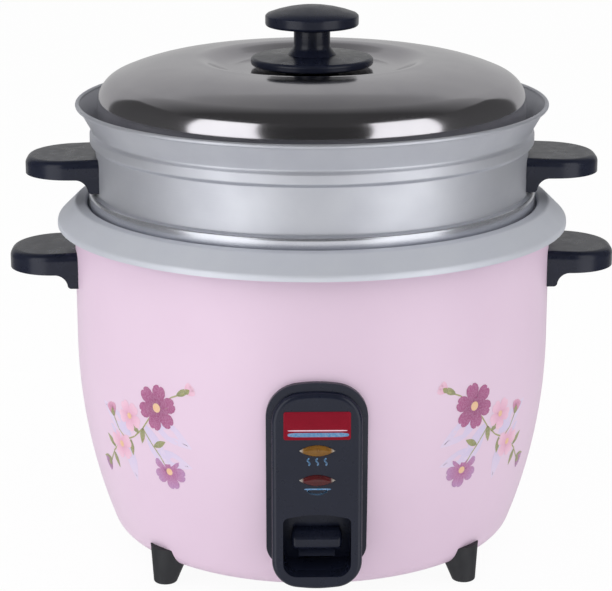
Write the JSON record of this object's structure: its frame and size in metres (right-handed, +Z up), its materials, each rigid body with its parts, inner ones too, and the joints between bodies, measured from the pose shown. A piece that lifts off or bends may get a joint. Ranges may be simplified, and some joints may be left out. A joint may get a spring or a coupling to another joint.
{
  "type": "rice cooker",
  "caption": "Drum rice cooker with lift-out pot, stacked steamer tray and dished metal lid with a knob; side handles, front panel with cook lever and pilot lenses, rear power inlet.",
  "frame": {"origin": "on the table under the cooker's axis, at the level of the feet's soles", "axes": "+Z up along the drum's axis, -Y towards the control panel, +X towards the right-hand handle seen from the front"},
  "size_m": [0.324, 0.2718, 0.2933],
  "materials": {
    "pink_enamel": "smooth gloss enamel",
    "polished_lid_steel": "polished, slightly soft mirror",
    "steamer_aluminium": "spun satin",
    "pot_aluminium": "bright drawn",
    "black_plastic": "soft gloss phenolic",
    "foot_rubber": "matt",
    "badge_enamel": "gloss enamel",
    "amber_lens": "clear moulded",
    "red_lens": "clear moulded",
    "lamp_glass": "clear",
    "zinc_steel": "zinc plated",
    "screw_steel": "nickel plated",
    "plate_casting": "turned casting",
    "heater_sheath": "oxidised",
    "white_insulator": "glazed insulator",
    "dark_ferrite": "sintered",
    "spring_steel": "drawn wire",
    "brass_blade": "stamped",
    "switch_moulding": "moulded",
    "red_wire": "sleeved",
    "blue_wire": "sleeved",
    "white_wire": "sleeved",
    "green_wire": "sleeved"
  },
  "bodies": {
    "base": {"outer_casing": "pink_enamel", "control_panel": "black_plastic", "body_handle_left": "black_plastic", "body_handle_right": "black_plastic", "power_inlet": "black_plastic", "foot_front_left": "foot_rubber", "foot_front_right": "foot_rubber", "foot_rear_left": "foot_rubber", "foot_rear_right": "foot_rubber", "badge_plate": "badge_enamel", "warm_lens": "amber_lens", "cook_lens": "red_lens", "warm_lamp": "lamp_glass", "cook_lamp": "lamp_glass", "inner_liner": "zinc_steel", "base_plate": "zinc_steel", "thermostat_frame": "zinc_steel", "switch_bracket": "zinc_steel", "base_plate_screws": "screw_steel", "foot_screws": "screw_steel", "plate_screws": "screw_steel", "thermostat_screws": "screw_steel", "bracket_screws": "screw_steel", "microswitch_screws": "screw_steel", "panel_screws": "screw_steel", "body_handle_screws": "screw_steel", "inlet_screws": "screw_steel", "lever_pivot_pin": "screw_steel", "heating_plate": "plate_casting", "heater_tube": "heater_sheath", "plate_spacers": "white_insulator", "lamp_holder": "white_insulator", "sensor_spring": "spring_steel", "inlet_pins": "brass_blade", "microswitch": "switch_moulding", "live_wire": "red_wire", "neutral_wire": "blue_wire", "switch_wire": "white_wire", "thermal_fuse": "white_wire", "earth_wire": "green_wire"},
    "pot": {"inner_pot": "pot_aluminium"},
    "steamer": {"steamer_tray": "steamer_aluminium", "steamer_handle_left": "black_plastic", "steamer_handle_right": "black_plastic", "steamer_handle_screws": "screw_steel"},
    "lid": {"lid_shell": "polished_lid_steel", "lid_knob": "black_plastic", "knob_skirt": "black_plastic", "knob_washer": "screw_steel", "knob_screw": "screw_steel"},
    "lever": {"lever_arm": "zinc_steel", "lever_key": "black_plastic"},
    "magnet": {"magnet": "dark_ferrite", "magnet_rod": "screw_steel"},
    "switch_button": {"microswitch_button": "white_insulator"},
    "sensor": {"sensor_cap": "plate_casting", "sensor_ferrite": "dark_ferrite"}
  },
  "joints": [
    {"name": "pot_lift", "type": "slide", "parent": "base", "child": "pot", "axis": [0, 0, 1], "range_m": [0, 0.16]},
    {"name": "steamer_lift", "type": "slide", "parent": "pot", "child": "steamer", "axis": [0, 0, 1], "range_m": [0, 0.09]},
    {"name": "lid_lift", "type": "slide", "parent": "steamer", "child": "lid", "axis": [0, 0, 1], "range_m": [0, 0.1]},
    {"name": "cook_lever", "type": "hinge", "parent": "base", "child": "lever", "pos_m": [0, -0.042, 0.024], "axis": [1, 0, 0], "range_deg": [0, 5], "stiffness_Nm_per_rad": 0.3, "springref_deg": -11.46},
    {"name": "magnet_lift", "type": "slide", "parent": "base", "child": "magnet", "axis": [0, 0, 1], "range_m": [0, 0.0037]},
    {"name": "button_press", "type": "slide", "parent": "base", "child": "switch_button", "axis": [0, 0, 1], "range_m": [-0.0014, 0]},
    {"name": "sensor_rise", "type": "slide", "parent": "base", "child": "sensor", "axis": [0, 0, 1], "range_m": [0, 0.003], "deforming": ["sensor_spring"]}
  ],
  "couplings": [
    {"joint": "magnet_lift", "follows": "cook_lever", "m_per_rad": 0.042},
    {"joint": "button_press", "follows": "cook_lever", "m_per_rad": -0.016},
    {"joint": "sensor_rise", "follows": "pot_lift", "ratio": 0.01875}
  ]
}
